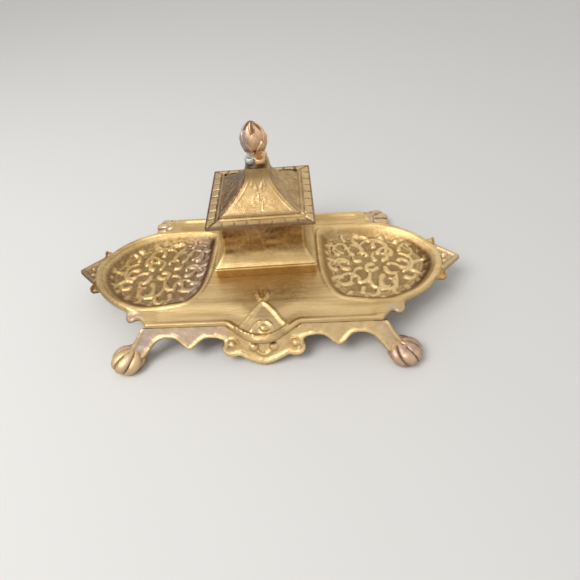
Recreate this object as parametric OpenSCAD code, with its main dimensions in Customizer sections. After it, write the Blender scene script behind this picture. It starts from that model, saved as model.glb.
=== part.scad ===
// Desk inkstand of cast brass: a footed plate with two sunk trays and pen rests, and an ink case with
// a hinged pagoda lid. Millimetres, +Z up. The origin is on the table, under the middle of the plate.
// +X runs along the length and -Y is the front.

/* [Plate] */
// Length over the two pointed ends
stand_length = 254; // [244:1:270]
// Distance between the outer edges of the front and rear ridges
plate_depth = 101.6; // [98:0.2:110]
// Length of each straight ridge
ridge_length = 139; // [134:1:146]
// Height of the plate's upper face above the table
deck_height = 22.7; // [21:0.1:26]
// Thickness of the plate
deck_wall = 3.5; // [3:0.1:4.5]
// Width of the raised ridge along the front and rear edges
ridge_width = 2.6; // [2:0.1:3.6]
// Height of that ridge above the plate
ridge_rise = 1.5; // [0.8:0.1:2.5]
// How far the tongue under the medallion stands out from the front ridge
tongue_reach = 13; // [9:0.5:14]
// Half the width of that tongue at the ridge
tongue_half = 22; // [19:0.5:26]
// Depth of the pen rests' shallow troughs
trough_depth = 1; // [0.5:0.1:1.4]
// Length of the pen rests' troughs
trough_length = 122; // [110:1:128]
// Width of the pointed end at the tray's rim
point_width = 34; // [28:1:38]
// Thickness of the pointed end
point_wall = 4.5; // [3.5:0.1:6]
// Drop of the pointed end's face below the plate's face
point_drop = 1; // [0.5:0.1:1.8]
// Radius of the bead on each side of a pointed end
bead_r = 3; // [2.4:0.1:3.6]
// Radius of the small scroll at each end of a ridge
scroll_r = 4.5; // [3.5:0.1:5]

/* [Trays] */
// Distance from the middle of the stand to the centre of a tray's curved end
tray_centre = 40; // [38:0.5:42]
// Reach of the rim beyond that centre, along the stand
rim_reach = 74.5; // [72:0.5:76]
// Half the depth that the rim's curve would have at that centre
rim_half = 46; // [44:0.5:48]
// Width of the rim round a tray's curved end
rim_width = 4; // [3:0.1:5]
// Distance from the middle of the stand to a tray's inner side
tray_inner = 35; // [34.5:0.1:37]
// Half the depth of a tray at its straight sides
tray_half = 34; // [32:0.5:35]
// Depth of a tray below the plate's face
tray_depth = 6; // [5:0.5:7]
// How far a tray's wall slopes in between its edge and its floor
tray_slope = 8.5; // [6:0.5:10]
// Thickness of a tray's floor
tray_floor = 2.5; // [2:0.1:3.5]
// Rise of the scrolls cast on the tray floors
relief_rise = 1.4; // [1:0.1:1.5]

/* [Aprons and feet] */
// How far an apron runs out from the ridge, measured level
apron_run = 15.9; // [14.5:0.1:17]
// Height of the apron's lowest tip above the table
apron_clear = 2.4; // [1.5:0.1:4]
// Thickness of an apron and its legs
apron_wall = 3; // [2.4:0.1:3.6]
// Thickness of the tabs that hold an apron to the plate
tab_wall = 2.8; // [2.2:0.1:3.4]
// Width of each end tab
tab_width = 14; // [11:0.5:16]
// How far a foot's axis lies beyond the end of the ridge
foot_beyond = 13; // [12:0.5:14]
// How far a foot's axis lies outside the ridge
foot_out = 10.5; // [9.5:0.1:11.5]
// Greatest radius of a foot
foot_r = 10.3; // [9.3:0.1:11]
// Height of a foot
foot_height = 11.8; // [10.5:0.1:13]
// Radius of the rounded toes
toe_r = 4.2; // [3.4:0.1:4.8]

/* [Ink case] */
// Width of the case's plinth, along the stand
plinth_width = 65.5; // [62:0.5:66.5]
// Depth of the case's plinth, front to back
plinth_depth = 63; // [60:0.5:64]
// Height of the plinth's upright face
plinth_height = 7; // [5.5:0.5:9]
// How far the cove draws in from the plinth to the wall
cove_in = 7; // [5:0.5:8]
// Height of the cove
cove_height = 11; // [8:0.5:13]
// Height of the case from the plate to the lid
case_height = 38; // [36:0.5:44]
// Thickness of the case's walls
case_wall = 3; // [2.5:0.1:4]
// Thickness of the case's floor
case_floor = 3; // [2:0.1:4]
// Distance of the case's middle behind the middle of the plate
case_y = 19.3; // [17:0.1:20]
// Turn of the case on the plate, in degrees, as it is screwed down
case_turn = 1.8; // [0:0.1:2]

/* [Lid] */
// Width of the lid over its eaves
lid_width = 64; // [61:0.5:66]
// Depth of the lid over its eaves
lid_depth = 62; // [59:0.5:63]
// Thickness of the eave's edge
eave_wall = 2.4; // [2:0.1:3.2]
// Height of the roof above the eave
roof_height = 21.4; // [18:0.2:24]
// Width of the small flat on top of the roof
roof_flat = 13.3; // [12.5:0.1:16]
// Thickness of the roof
roof_wall = 2.4; // [2:0.1:3]
// Thickness of the roof under the finial
crown_wall = 3.6; // [3:0.1:5]

/* [Hinge] */
// Radius of the hinge pin
pin_r = 1; // [0.8:0.05:1.2]
// Radial clearance of the pin in the lid's knuckle
pin_gap = 0.06; // [0.03:0.01:0.1]
// Outer radius of the knuckles
knuckle_r = 2.2; // [2:0.05:2.3]
// Length of the lid's knuckle
lid_knuckle = 14; // [10:0.5:20]
// Length of each of the case's knuckles
case_knuckle = 7; // [5:0.5:10]
// Distance of the pin's axis behind the case's wall
pin_back = 3.5; // [3.3:0.1:4]
// How far the lid swings open, in degrees
lid_swing = 105; // [95:1:110]

/* [Finial] */
// Height of the neck between roof and bud
neck_height = 7.4; // [6:0.2:9]
// Greatest radius of the neck
neck_r = 6.4; // [5.4:0.1:6.6]
// Height of the bud
bud_height = 17.9; // [15:0.1:20]
// Greatest radius of the bud
bud_r = 7.5; // [6.5:0.1:8.5]
// Radius of the stud through neck and lid
stud_r = 1.5; // [1.2:0.1:1.8]

/* [Ink pot] */
// Outer radius of the pot
pot_r = 20; // [18:0.5:20.5]
// Height of the pot
pot_height = 31; // [26:0.5:32]
// Thickness of the pot's wall and floor
pot_wall = 3; // [2.5:0.1:4]
// Radius of the pot's mouth
mouth_r = 13; // [10:0.5:15]

/* [Screws] */
// Radius of the shanks
shank_r = 1.4; // [1.2:0.1:1.6]
// Radius of the heads
head_r = 2.6; // [2.2:0.1:3]
// Thickness of the heads
head_wall = 1.6; // [1.2:0.1:2]
// Clearance round a shank in the piece it passes through
hole_gap = 0.2; // [0.1:0.05:0.4]
// Depth that a screw reaches into the plate
plate_grip = 2.2; // [1.8:0.1:2.2]
// Depth that a screw reaches into the case
case_grip = 3.6; // [3:0.1:4.4]
// Depth that a screw reaches into a foot
foot_grip = 2.4; // [1.8:0.1:2.6]

/* [Hidden] */
$fn = 96;

// Clearance of a screw or stud in the piece that it is tightened into, and between seated pieces
seat_gap = 0.05;
// Room beyond the tip of a screw
tip_gap = 0.2;
// A cut runs this far past the face that it opens
over = 1;
// Steps of a curve that a formula gives
steps = 20;
// Steepest straight share in the curve of the roof and of the cove
roof_straight = 0.12;
cove_straight = 0.35;
// The step between the plinth and its cove
plinth_step = 0.8;
// The medallion on the tongue and the three-sided crest behind it
medal_r = 9.4;
medal_bead = 1.3;
crest_half = 15;
crest_length = 27;
crest_rise = 1.1;

point_x = stand_length / 2;
ridge_y = plate_depth / 2;
ridge_x = ridge_length / 2;
deck_under = deck_height - deck_wall;
floor_top = deck_height - tray_depth;
rim_x = tray_centre + rim_reach;
floor_mid = (tray_inner + rim_x - rim_width) / 2;
floor_reach = (rim_x - rim_width - tray_inner) / 2 - tray_slope;
floor_half = tray_half - tray_slope;
trough_half = (ridge_y - ridge_width - tray_half) / 2;
trough_y = tray_half + trough_half;
trough_curve = (trough_half * trough_half + trough_depth * trough_depth) / (2 * trough_depth);
medal_y = ridge_y + tongue_reach - medal_r - medal_bead - 0.6;

apron_top = deck_height;
apron_fall = apron_top - apron_clear;
apron_length = sqrt(apron_run * apron_run + apron_fall * apron_fall);
apron_angle = atan(apron_fall / apron_run);
foot_x = ridge_x + foot_beyond;
foot_y = ridge_y + foot_out;
// Half length of the ridge, and place of the foot beyond it, for which the apron's edge is drawn
// The filling between apron and tongue stands this far behind the tongue's edge
boss_inset = 5;
// Shares of the apron's length at which a leg ends and at which its foot's screw sits
leg_end = 0.825;
foot_screw_share = 0.705;
foot_screw_x = foot_x - 3.4;
tab_screw_x = [7.5 - ridge_x, 0, ridge_x - 7.5];
tab_screw_y = ridge_y - 7;
tab_inner_y = ridge_y - 12;

plinth_x = plinth_width / 2;
plinth_y = plinth_depth / 2;
wall_x = plinth_x - cove_in;
wall_y = plinth_y - cove_in;
cavity_x = wall_x - case_wall;
cavity_y = wall_y - case_wall;
case_screw_x = (plinth_x + cavity_x) / 2;
case_screw_y = (plinth_y + cavity_y) / 2;

pin_y = wall_y + pin_back;
pin_z = case_height - knuckle_r - 0.3;
knuckle_gap = 0.3;
heel_wall = 1.8;
pin_length = lid_knuckle + 2 * (case_knuckle + knuckle_gap) + 1.6;

roof_foot = case_height + eave_wall;
roof_top = roof_foot + roof_height;
crown_under = roof_top - crown_wall;
washer_r = 3.6;
washer_wall = 0.8;
nut_flats = 5;
nut_height = 2.2;
neck_top = roof_top + neck_height;
stud_low = crown_under - washer_wall - nut_height - 0.6;
stud_high = neck_top + 6;

// A curve that starts level at 0 and ends steeply at 1, with a share of straight line in it
function swell(u, straight) = (1 - straight) * (1 - sqrt(max(0, 1 - u * u))) + straight * u;

// How far the front edge stands out beyond the ridge at a place along it
function tongue(x) = abs(x) >= tongue_half ? 0 : tongue_reach * pow(1 - pow(x / tongue_half, 2), 1.3);

// Points along the front edge, from one end of the ridge to the other, moved inward by an inset
function front_edge(inset) = [
    for (i = [-1, 0]) if (i < 0) [-ridge_x, -ridge_y + inset],
    for (i = [-steps : steps]) let (x = tongue_half * i / steps) [x, -ridge_y - tongue(x) + inset],
    [ridge_x, -ridge_y + inset]
];

// Outline of the right-hand tray: a curved outer end, a wide front corner and a tight rear one
function tray_points(inset) =
    let (a = rim_reach - rim_width - inset, b = rim_half - rim_width - inset, half = tray_half - inset,
         turn = asin(half / b), inner = tray_inner + inset,
         wide_x = 19 - inset, wide_y = 27 - inset, tight = 10 - inset)
    concat(
        [for (i = [0 : 2 * steps]) let (t = -turn + turn * i / steps)
            [tray_centre + a * cos(t), b * sin(t)]],
        [for (i = [0 : 6]) let (t = 90 + 15 * i)
            [inner + max(tight, 1) * (1 + cos(t)), half - max(tight, 1) * (1 - sin(t))]],
        [for (i = [0 : 12]) let (t = 180 + 7.5 * i)
            [inner + wide_x * (1 + cos(t)), -half + wide_y * (1 + sin(t))]]
    );

module both_sides() {
    children();
    mirror([1, 0, 0]) children();
}

module four_corners(x, y) {
    for (i = [-1, 1], j = [-1, 1]) translate([i * x, j * y, 0]) children();
}

// Places a piece on the case's own axes, standing on the plate
module on_case() {
    translate([0, case_y, deck_height]) rotate([0, 0, case_turn]) children();
}

// Places a flat outline on the front apron's outer face: x along it, y down it, z into the metal
module on_apron() {
    translate([0, -ridge_y, apron_top]) rotate([180 + apron_angle, 0, 0]) children();
}

module rim_end() {
    polygon([for (i = [-2 * steps : 2 * steps]) let (t = 45 * i / steps)
        [tray_centre + rim_reach * cos(t), rim_half * sin(t)]]);
}

module point_end() {
    w = point_width / 2;
    l = point_x - rim_x;
    polygon([[rim_x - 9, -w], [rim_x - 4, -w * 0.9], [rim_x, -w * 0.7], [rim_x + l * 0.45, -w * 0.42],
             [point_x - 1.4, -w * 0.14], [point_x, 0], [point_x - 1.4, w * 0.14],
             [rim_x + l * 0.45, w * 0.42], [rim_x, w * 0.7], [rim_x - 4, w * 0.9], [rim_x - 9, w]]);
}

module end_scroll() {
    translate([ridge_x + 8.6, -ridge_y + 8.4]) circle(r = scroll_r);
    polygon([[ridge_x - 1, -ridge_y], [ridge_x + 3.5, -ridge_y + 5.2], [ridge_x + 7, -ridge_y + 4.8],
             [ridge_x + 12, -ridge_y + 10], [ridge_x + 8, -ridge_y + 16], [ridge_x - 1, -ridge_y + 16]]);
}

// Outline of the plate without its pointed ends
module deck_outline() {
    polygon(concat(front_edge(0), [[ridge_x, ridge_y], [-ridge_x, ridge_y]]));
    both_sides() {
        rim_end();
        end_scroll();
        mirror([0, 1]) end_scroll();
    }
}

module tray_block(inset, grow, low, high) {
    hull() {
        translate([0, 0, high - 0.01]) linear_extrude(0.01) polygon(tray_points(-grow));
        translate([0, 0, low]) linear_extrude(0.01) polygon(tray_points(inset));
    }
}

module ridge_strips() {
    front = concat(front_edge(0), [for (i = [len(front_edge(0)) - 1 : -1 : 0]) front_edge(ridge_width)[i]]);
    translate([0, 0, deck_under]) linear_extrude(deck_wall + ridge_rise) {
        polygon(front);
        both_sides() translate([plinth_x + 2, ridge_y - ridge_width])
            square([ridge_x - plinth_x - 2, ridge_width]);
    }
}

module crest() {
    base = deck_height - trough_depth - 0.2;
    rise = trough_depth + 0.2 + crest_rise;
    low_y = -ridge_y + ridge_width / 2;
    translate([0, 0, base]) linear_extrude(rise)
        polygon([for (i = [-steps : steps]) let (u = abs(i) / steps)
            [crest_half * i / steps, low_y + crest_length * pow(1 - u, 1.6)]]);
    translate([0, -medal_y, base]) linear_extrude(rise) circle(r = medal_r + medal_bead / 2);
    translate([0, -medal_y, deck_height + crest_rise]) rotate_extrude()
        translate([medal_r - medal_bead / 2, 0]) circle(r = medal_bead, $fn = 24);
    translate([0, -medal_y, deck_height + crest_rise - 1]) cylinder(r1 = 4.6, r2 = 2.6, h = 2.2);
}

// Main scrolls on the right-hand tray's floor: the middle as shares of the floor's half length and half
// width, the radius as a share of its half width, then the start and the sweep of the turn
function tray_scrolls() = [
    [0.01, 0.6, 0.36, -25, 240], [0.11, -0.55, 0.35, 160, 235], [-0.52, 0.92, 0.5, 184, 64],
    [-0.78, 0.04, 0.2, 10, 165], [-0.64, -0.59, 0.27, 15, 150], [0.56, 0.04, 0.33, -80, 160]
];

// Round buttons among the scrolls: the middle, as for the scrolls
function tray_buttons() = [[0.02, 0.6], [0.11, -0.55], [-0.33, -0.2]];

module on_tray(x, y) {
    translate([floor_mid + x * floor_reach, y * floor_half, floor_top]) children();
}

module tray_relief() {
    bulb = relief_rise + 0.2;
    for (s = tray_scrolls()) on_tray(s[0], s[1]) rotate([0, 0, s[3]]) {
        rotate_extrude(angle = s[4]) translate([s[2] * floor_half, 0]) circle(r = relief_rise, $fn = 16);
        for (t = [0, s[4]]) rotate([0, 0, t]) translate([s[2] * floor_half, 0, 0]) sphere(r = bulb, $fn = 24);
    }
    for (b = tray_buttons()) on_tray(b[0], b[1]) translate([0, 0, -relief_rise / 2])
        cylinder(r1 = 2 * relief_rise, r2 = relief_rise, h = 1.5 * relief_rise, $fn = 32);
}

module plate_holes() {
    for (x = tab_screw_x, j = [-1, 1]) translate([x, j * tab_screw_y, deck_under - over])
        cylinder(r = shank_r + seat_gap, h = over + plate_grip + tip_gap, $fn = 32);
    on_case() four_corners(case_screw_x, case_screw_y) translate([0, 0, -deck_wall - over])
        cylinder(r = shank_r + hole_gap, h = deck_wall + 2 * over, $fn = 32);
}

module troughs() {
    translate([-trough_length / 2, -trough_y, deck_height - trough_depth + trough_curve])
        rotate([0, 90, 0]) cylinder(r = trough_curve, h = trough_length);
    both_sides() translate([plinth_x + 3, trough_y, deck_height - trough_depth + trough_curve])
        rotate([0, 90, 0]) cylinder(r = trough_curve, h = trough_length / 2 - plinth_x - 3);
}

module tray_plate() color([0.79, 0.64, 0.33]) {
    difference() {
        union() {
            translate([0, 0, deck_under]) linear_extrude(deck_wall) deck_outline();
            both_sides() {
                tray_block(tray_slope - 2, 2.5, floor_top - tray_floor, deck_under + 0.5);
                translate([0, 0, deck_height - point_drop - point_wall])
                    linear_extrude(point_wall) point_end();
                for (j = [-1, 1]) translate([rim_x - 3, j * (point_width / 2 + 1.4),
                    deck_height - point_drop - bead_r + 1.5]) sphere(r = bead_r);
            }
        }
        both_sides() tray_block(tray_slope, tray_slope * over / tray_depth, floor_top,
                                deck_height + over);
        both_sides() translate([0, 0, deck_height - point_drop - 1.2]) linear_extrude(3)
            polygon([[rim_x + 0.5, -6.5], [point_x - 4, 0], [rim_x + 0.5, 6.5]]);
        plate_holes();
        troughs();
    }
    ridge_strips();
    crest();
    both_sides() tray_relief();
}

// Half of the apron's edge, from the middle tip to the leg. The first number is a share of the ridge's
// half length, the second a share of the apron's length.
function scallops() = [
    [0, 1], [0.072, 0.955], [0.151, 0.865], [0.207, 0.785], [0.252, 0.8], [0.305, 0.79], [0.345, 0.715],
    [0.36, 0.575], [0.342, 0.43], [0.374, 0.37], [0.432, 0.335], [0.489, 0.34], [0.544, 0.42], [0.59, 0.53],
    [0.636, 0.59], [0.685, 0.52], [0.728, 0.39], [0.768, 0.32], [0.835, 0.305], [0.898, 0.36],
    [0.947, 0.465], [0.993, 0.62]
];

// The leg's edge, from its inner side round to the plate. The first number is a share of the way from
// the ridge's end to the foot.
function leg_edge() = [
    [0.19, 0.76], [0.45, leg_end], [1, leg_end], [1, 0.62], [0.8, 0.48], [0.6, 0.35], [0.4, 0.18],
    [0.2, 0]
];

module apron_outline() {
    right = [for (p = scallops()) [p[0] * ridge_x, p[1] * apron_length],
             for (p = leg_edge()) [ridge_x + p[0] * foot_beyond, p[1] * apron_length]];
    left = [for (i = [len(right) - 1 : -1 : 1]) [-right[i][0], right[i][1]]];
    polygon(concat(right, left));
}

module foot_screw_place() {
    for (i = [-1, 1]) on_apron()
        translate([i * foot_screw_x, foot_screw_share * apron_length, apron_wall]) children();
}

// The front apron; the rear one has no boss under a medallion
module apron(boss) {
    difference() {
        union() {
            on_apron() linear_extrude(apron_wall) apron_outline();
            for (x = tab_screw_x) translate([x - tab_width / 2, -ridge_y - 3.4, deck_under - tab_wall])
                cube([tab_width, ridge_y + 3.4 - tab_inner_y, tab_wall]);
            if (boss) intersection() {
                translate([0, 0, apron_clear + 2]) linear_extrude(deck_under - apron_clear - 2)
                    polygon(front_edge(boss_inset));
                on_apron() translate([-tongue_half, -apron_length, -apron_length])
                    cube([2 * tongue_half, 3 * apron_length, apron_length + apron_wall]);
            }
        }
        translate([0, 0, deck_under]) linear_extrude(2 * deck_wall) deck_outline();
        for (x = tab_screw_x) translate([x, -tab_screw_y, deck_under - tab_wall - over])
            cylinder(r = shank_r + hole_gap, h = tab_wall + 2 * over, $fn = 32);
        foot_screw_place() translate([0, 0, -apron_wall - over])
            cylinder(r = shank_r + hole_gap, h = apron_wall + 2 * over, $fn = 32);
    }
}

module front_apron() color([0.72, 0.58, 0.36]) apron(true);
module rear_apron() color([0.72, 0.58, 0.36]) mirror([0, 1, 0]) apron(false);

// The front right foot: a bud with three toes, let in over the end of its leg
module foot() {
    mid = foot_height * 0.44;
    rise = foot_height - mid;
    difference() {
        intersection() {
            translate([foot_x, -foot_y, 0]) union() {
                rotate_extrude() polygon(concat([[0, 0]],
                    [for (i = [0 : steps]) let (z = foot_height * i / steps)
                        [foot_r * sqrt(max(0, 1 - pow((z - mid) / rise, 2))), z]]));
                for (t = [-120, -70, -20]) rotate([0, 0, t]) translate([foot_r - toe_r + 0.9, 0, toe_r])
                    sphere(r = toe_r);
            }
            translate([foot_x - 2 * foot_r, -foot_y - 2 * foot_r, 0])
                cube([4 * foot_r, 4 * foot_r, foot_height]);
        }
        on_apron() translate([0, 0, -seat_gap]) linear_extrude(4 * foot_r) apron_outline();
        on_apron() translate([foot_screw_x, foot_screw_share * apron_length, -foot_grip - tip_gap])
            cylinder(r = shank_r + seat_gap, h = foot_grip + over, $fn = 32);
    }
}

module front_left_foot() color([0.74, 0.58, 0.36]) mirror([1, 0, 0]) foot();
module front_right_foot() color([0.62, 0.42, 0.26]) foot();
module rear_left_foot() color([0.74, 0.58, 0.36]) mirror([0, 1, 0]) mirror([1, 0, 0]) foot();
module rear_right_foot() color([0.74, 0.58, 0.36]) mirror([0, 1, 0]) foot();

// A slotted cheese-head screw with its head below z = 0 and its shank above
module screw(reach) {
    difference() {
        translate([0, 0, -head_wall]) cylinder(r = head_r, h = head_wall, $fn = 32);
        translate([-head_r - over, -0.35, -head_wall - over]) cube([2 * head_r + 2 * over, 0.7, over + 0.7]);
    }
    cylinder(r = shank_r, h = reach, $fn = 32);
}

module foot_screws() color([0.55, 0.45, 0.28])
    for (j = [0, 1]) mirror([0, j, 0]) foot_screw_place() rotate([180, 0, 0])
        screw(apron_wall + foot_grip);

module apron_screws() color([0.55, 0.45, 0.28])
    for (x = tab_screw_x, j = [-1, 1]) translate([x, j * tab_screw_y, deck_under - tab_wall])
        screw(tab_wall + plate_grip);

module case_screws() color([0.55, 0.45, 0.28])
    on_case() four_corners(case_screw_x, case_screw_y) translate([0, 0, -deck_wall])
        screw(deck_wall + case_grip);

// Half section of the case: plinth, step, cove and wall
function case_side(plinth_at) =
    let (cove_foot = plinth_height + plinth_step, run = cove_in - plinth_step)
    concat([[plinth_at, 0], [plinth_at, plinth_height], [plinth_at - plinth_step, plinth_height]],
        [for (i = [0 : steps]) let (u = i / steps)
            [plinth_at - plinth_step - run * u, cove_foot + cove_height * swell(u, cove_straight)]],
        [[plinth_at - cove_in, case_height]]);

// A solid whose four sides all have the half section given for x and for y
module four_sided(x_side, y_side) {
    intersection() {
        rotate([90, 0, 0]) linear_extrude(2 * plinth_width, center = true)
            polygon(concat(x_side, [for (i = [len(x_side) - 1 : -1 : 0]) [-x_side[i][0], x_side[i][1]]]));
        rotate([90, 0, 90]) linear_extrude(2 * plinth_width, center = true)
            polygon(concat(y_side, [for (i = [len(y_side) - 1 : -1 : 0]) [-y_side[i][0], y_side[i][1]]]));
    }
}

module knuckle_bar(length) {
    translate([-length / 2, pin_y, pin_z]) rotate([0, 90, 0]) cylinder(r = knuckle_r, h = length, $fn = 48);
}

module case_lugs() {
    for (i = [-1, 1]) translate([i * (lid_knuckle + case_knuckle + 2 * knuckle_gap) / 2, 0, 0]) {
        knuckle_bar(case_knuckle);
        translate([0.4 - case_knuckle / 2, wall_y - over, pin_z - knuckle_r + 0.2])
            cube([case_knuckle - 0.8, pin_back + over, 2 * knuckle_r - 0.4]);
    }
}

module ink_case() color([0.68, 0.52, 0.28]) on_case() difference() {
    union() {
        four_sided(case_side(plinth_x), case_side(plinth_y));
        case_lugs();
    }
    translate([-cavity_x, -cavity_y, case_floor]) cube([2 * cavity_x, 2 * cavity_y, case_height]);
    four_corners(case_screw_x, case_screw_y) translate([0, 0, -over])
        cylinder(r = shank_r + seat_gap, h = over + case_grip + tip_gap, $fn = 32);
    translate([-pin_length, pin_y, pin_z]) rotate([0, 90, 0])
        cylinder(r = pin_r + 0.02, h = 2 * pin_length, $fn = 48);
}

module hinge_pin() color([0.6, 0.5, 0.32]) on_case()
    translate([-pin_length / 2, pin_y, pin_z]) rotate([0, 90, 0])
        cylinder(r = pin_r, h = pin_length, $fn = 48);

module ink_pot() color([0.93, 0.92, 0.88]) on_case() translate([0, 0, case_floor])
    rotate_extrude() polygon([
        [0, 0], [pot_r - 1.5, 0], [pot_r, 1.5], [pot_r, pot_height - 1.2], [pot_r - 1.2, pot_height],
        [mouth_r + 0.8, pot_height], [mouth_r, pot_height - 0.8], [mouth_r, pot_height - pot_wall],
        [pot_r - pot_wall, pot_height - pot_wall - 4], [pot_r - pot_wall, pot_wall + 2],
        [pot_r - pot_wall - 2, pot_wall], [0, pot_wall]]);

// Half section of the roof, from the eave up to the flat; a drop moves it inward for the hollow below
function roof_side(eave_at, flat_at, foot, top) = concat(
    [for (i = [0 : steps]) let (u = i / steps)
        [eave_at - (eave_at - flat_at) * u, foot + (top - foot) * swell(u, roof_straight)]]);

module roof_solid() {
    edge = 2.6;
    ex = lid_width / 2;
    ey = lid_depth / 2;
    four_sided(
        concat([[ex, case_height], [ex, roof_foot - 0.6]],
               roof_side(ex - edge, roof_flat / 2, roof_foot, roof_top)),
        concat([[ey, case_height], [ey, roof_foot - 0.6]],
               roof_side(ey - edge, roof_flat / 2, roof_foot, roof_top)));
}

module roof_hollow() {
    hx = cavity_x + 0.6;
    hy = cavity_y + 0.6;
    flat = roof_flat / 2 - roof_wall;
    foot = roof_foot - roof_wall + 1.4;
    translate([-hx, -hy, case_height - over]) cube([2 * hx, 2 * hy, over + foot - case_height]);
    four_sided(concat([[hx, foot - 0.1]], roof_side(hx, flat, foot, crown_under)),
               concat([[hy, foot - 0.1]], roof_side(hy, flat, foot, crown_under)));
}

// The lid's knuckle, its root under the eave, and the heel that stops against the wall at full swing
module lid_lug() {
    root = lid_knuckle - 0.8;
    heel = lid_knuckle - 1.6;
    knuckle_bar(lid_knuckle);
    translate([-root / 2, pin_y - 1.4, pin_z + 0.4])
        cube([root, knuckle_r + 1.2, case_height - pin_z - 0.2]);
    translate([-heel / 2, pin_y, pin_z]) rotate([lid_swing - 180, 0, 0])
        translate([0, 0, -heel_wall / 2]) cube([heel, pin_back - 0.3, heel_wall]);
}

module lid() color([0.76, 0.62, 0.34]) on_case() difference() {
    union() {
        difference() {
            roof_solid();
            roof_hollow();
        }
        lid_lug();
    }
    translate([-lid_knuckle, pin_y, pin_z]) rotate([0, 90, 0])
        cylinder(r = pin_r + pin_gap, h = 2 * lid_knuckle, $fn = 48);
    translate([0, 0, crown_under - over])
        cylinder(r = stud_r + hole_gap, h = crown_wall + 2 * over, $fn = 32);
}

module finial_neck() color([0.74, 0.56, 0.32]) on_case() difference() {
    translate([0, 0, roof_top]) rotate_extrude() polygon(concat(
        [[0, 0], [neck_r - 0.6, 0], [neck_r - 0.4, neck_height * 0.12]],
        [for (i = [0 : 10]) let (t = -60 + 13 * i) [neck_r - 2.9 + 2.9 * cos(t),
                                                   neck_height * (0.45 + 0.34 * sin(t))]],
        [[4.2, neck_height * 0.84], [4.2, neck_height], [0, neck_height]]));
    translate([0, 0, roof_top - over]) cylinder(r = stud_r + hole_gap, h = neck_height + 2 * over, $fn = 32);
}

// Radius of the bud at a share of its height: full low down, drawn to a point
function bud_at(u) = u < 0.42 ? bud_r * (0.58 + 0.42 * sin(90 * u / 0.42))
                              : bud_r * pow(max(0, cos(90 * (u - 0.42) / 0.58)), 0.8);

module finial_bud() color([0.66, 0.45, 0.33]) on_case() difference() {
    translate([0, 0, neck_top]) rotate_extrude() polygon(concat([[0, 0]],
        [for (i = [0 : steps]) let (u = i / steps) [i == steps ? 0 : bud_at(u), bud_height * u]]));
    translate([0, 0, neck_top - over])
        cylinder(r = stud_r + seat_gap, h = over + stud_high - neck_top + 0.3, $fn = 32);
}

module finial_stud() color([0.6, 0.5, 0.32]) on_case()
    translate([0, 0, stud_low]) cylinder(r = stud_r, h = stud_high - stud_low, $fn = 32);

module finial_washer() color([0.6, 0.5, 0.32]) on_case() translate([0, 0, crown_under - washer_wall])
    difference() {
        cylinder(r = washer_r, h = washer_wall, $fn = 48);
        translate([0, 0, -over]) cylinder(r = stud_r + hole_gap, h = washer_wall + 2 * over, $fn = 32);
    }

module finial_nut() color([0.6, 0.5, 0.32]) on_case()
    translate([0, 0, crown_under - washer_wall - nut_height]) difference() {
        cylinder(r = nut_flats / sqrt(3), h = nut_height, $fn = 6);
        translate([0, 0, -over]) cylinder(r = stud_r + seat_gap, h = nut_height + 2 * over, $fn = 32);
    }

tray_plate();
front_apron();
rear_apron();
front_left_foot();
front_right_foot();
rear_left_foot();
rear_right_foot();
foot_screws();
apron_screws();
ink_case();
case_screws();
ink_pot();
lid();
hinge_pin();
finial_neck();
finial_bud();
finial_stud();
finial_washer();
finial_nut();
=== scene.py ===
import math
import bmesh
import bpy
import numpy as np
from mathutils import Matrix, Vector


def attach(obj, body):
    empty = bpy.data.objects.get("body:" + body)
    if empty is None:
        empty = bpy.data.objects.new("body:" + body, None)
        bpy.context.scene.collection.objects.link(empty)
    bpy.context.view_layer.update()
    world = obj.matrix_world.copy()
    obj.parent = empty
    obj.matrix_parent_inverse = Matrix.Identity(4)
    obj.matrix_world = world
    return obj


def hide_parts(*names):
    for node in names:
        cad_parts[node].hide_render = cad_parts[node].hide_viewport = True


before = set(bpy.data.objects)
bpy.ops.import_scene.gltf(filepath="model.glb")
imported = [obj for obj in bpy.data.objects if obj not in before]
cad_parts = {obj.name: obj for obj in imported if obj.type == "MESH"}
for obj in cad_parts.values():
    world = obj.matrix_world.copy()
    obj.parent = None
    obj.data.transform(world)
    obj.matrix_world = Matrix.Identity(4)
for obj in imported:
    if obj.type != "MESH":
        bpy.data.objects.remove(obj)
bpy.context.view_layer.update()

# Shapes are worked out in millimetres and turned to metres when a piece is finished.
MM = 0.001
sharp_edge = math.radians(38)

# Plate: its top and wall, its long edges, the tongue in front, and the points and cartouches at both ends
deck = 22.7
deck_wall = 3.5
ridge_x = 69.5
ridge_y = 50.8
tongue_half = 22
tongue_reach = 13
point_x = 127
cartouche_x = 112
plate_cell = 0.72

# Trays: the oval rim round both, and how each one sinks
tray_centre = 40
rim_reach = 74.5
rim_half = 46
tray_depth = 6
tray_run = 9
bowl_wall = 2.5

# Pen rests: a broad one before the case and two short ones behind the trays
front_rest_depth = 1.15
back_rest_depth = 1.2
back_rest_half = 5.6
back_rest_y = 42.4

# Case and lid, on their own axes, which stand turned a little on the plate
case_y = 19.3
case_turn = math.radians(1.8)
plinth_x = 32.75
plinth_y = 31.5
plinth_height = 7
plinth_step = 0.8
cove_in = 7
cove_height = 11
cove_straight = 0.35
case_height = 38
case_wall = 3
case_floor = 3
cast_corner = 0.9
lid_x = 32
lid_y = 31
eave_wall = 2.4
eave_in = 2.6
block_pitch = 7.4
roof_height = 21.4
roof_flat = 13.3
roof_straight = 0.12
roof_wall = 2.4
crown_wall = 3.6
roof_top = case_height + eave_wall + roof_height
pin_y = plinth_y - cove_in + 3.5
pin_z = case_height - 2.5
knuckle_r = 2.2
knuckle_length = 7
knuckle_x = 10.8

# Pot
pot_r = 20
pot_bore = 17
pot_mouth = 13
pot_height = 31

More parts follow.
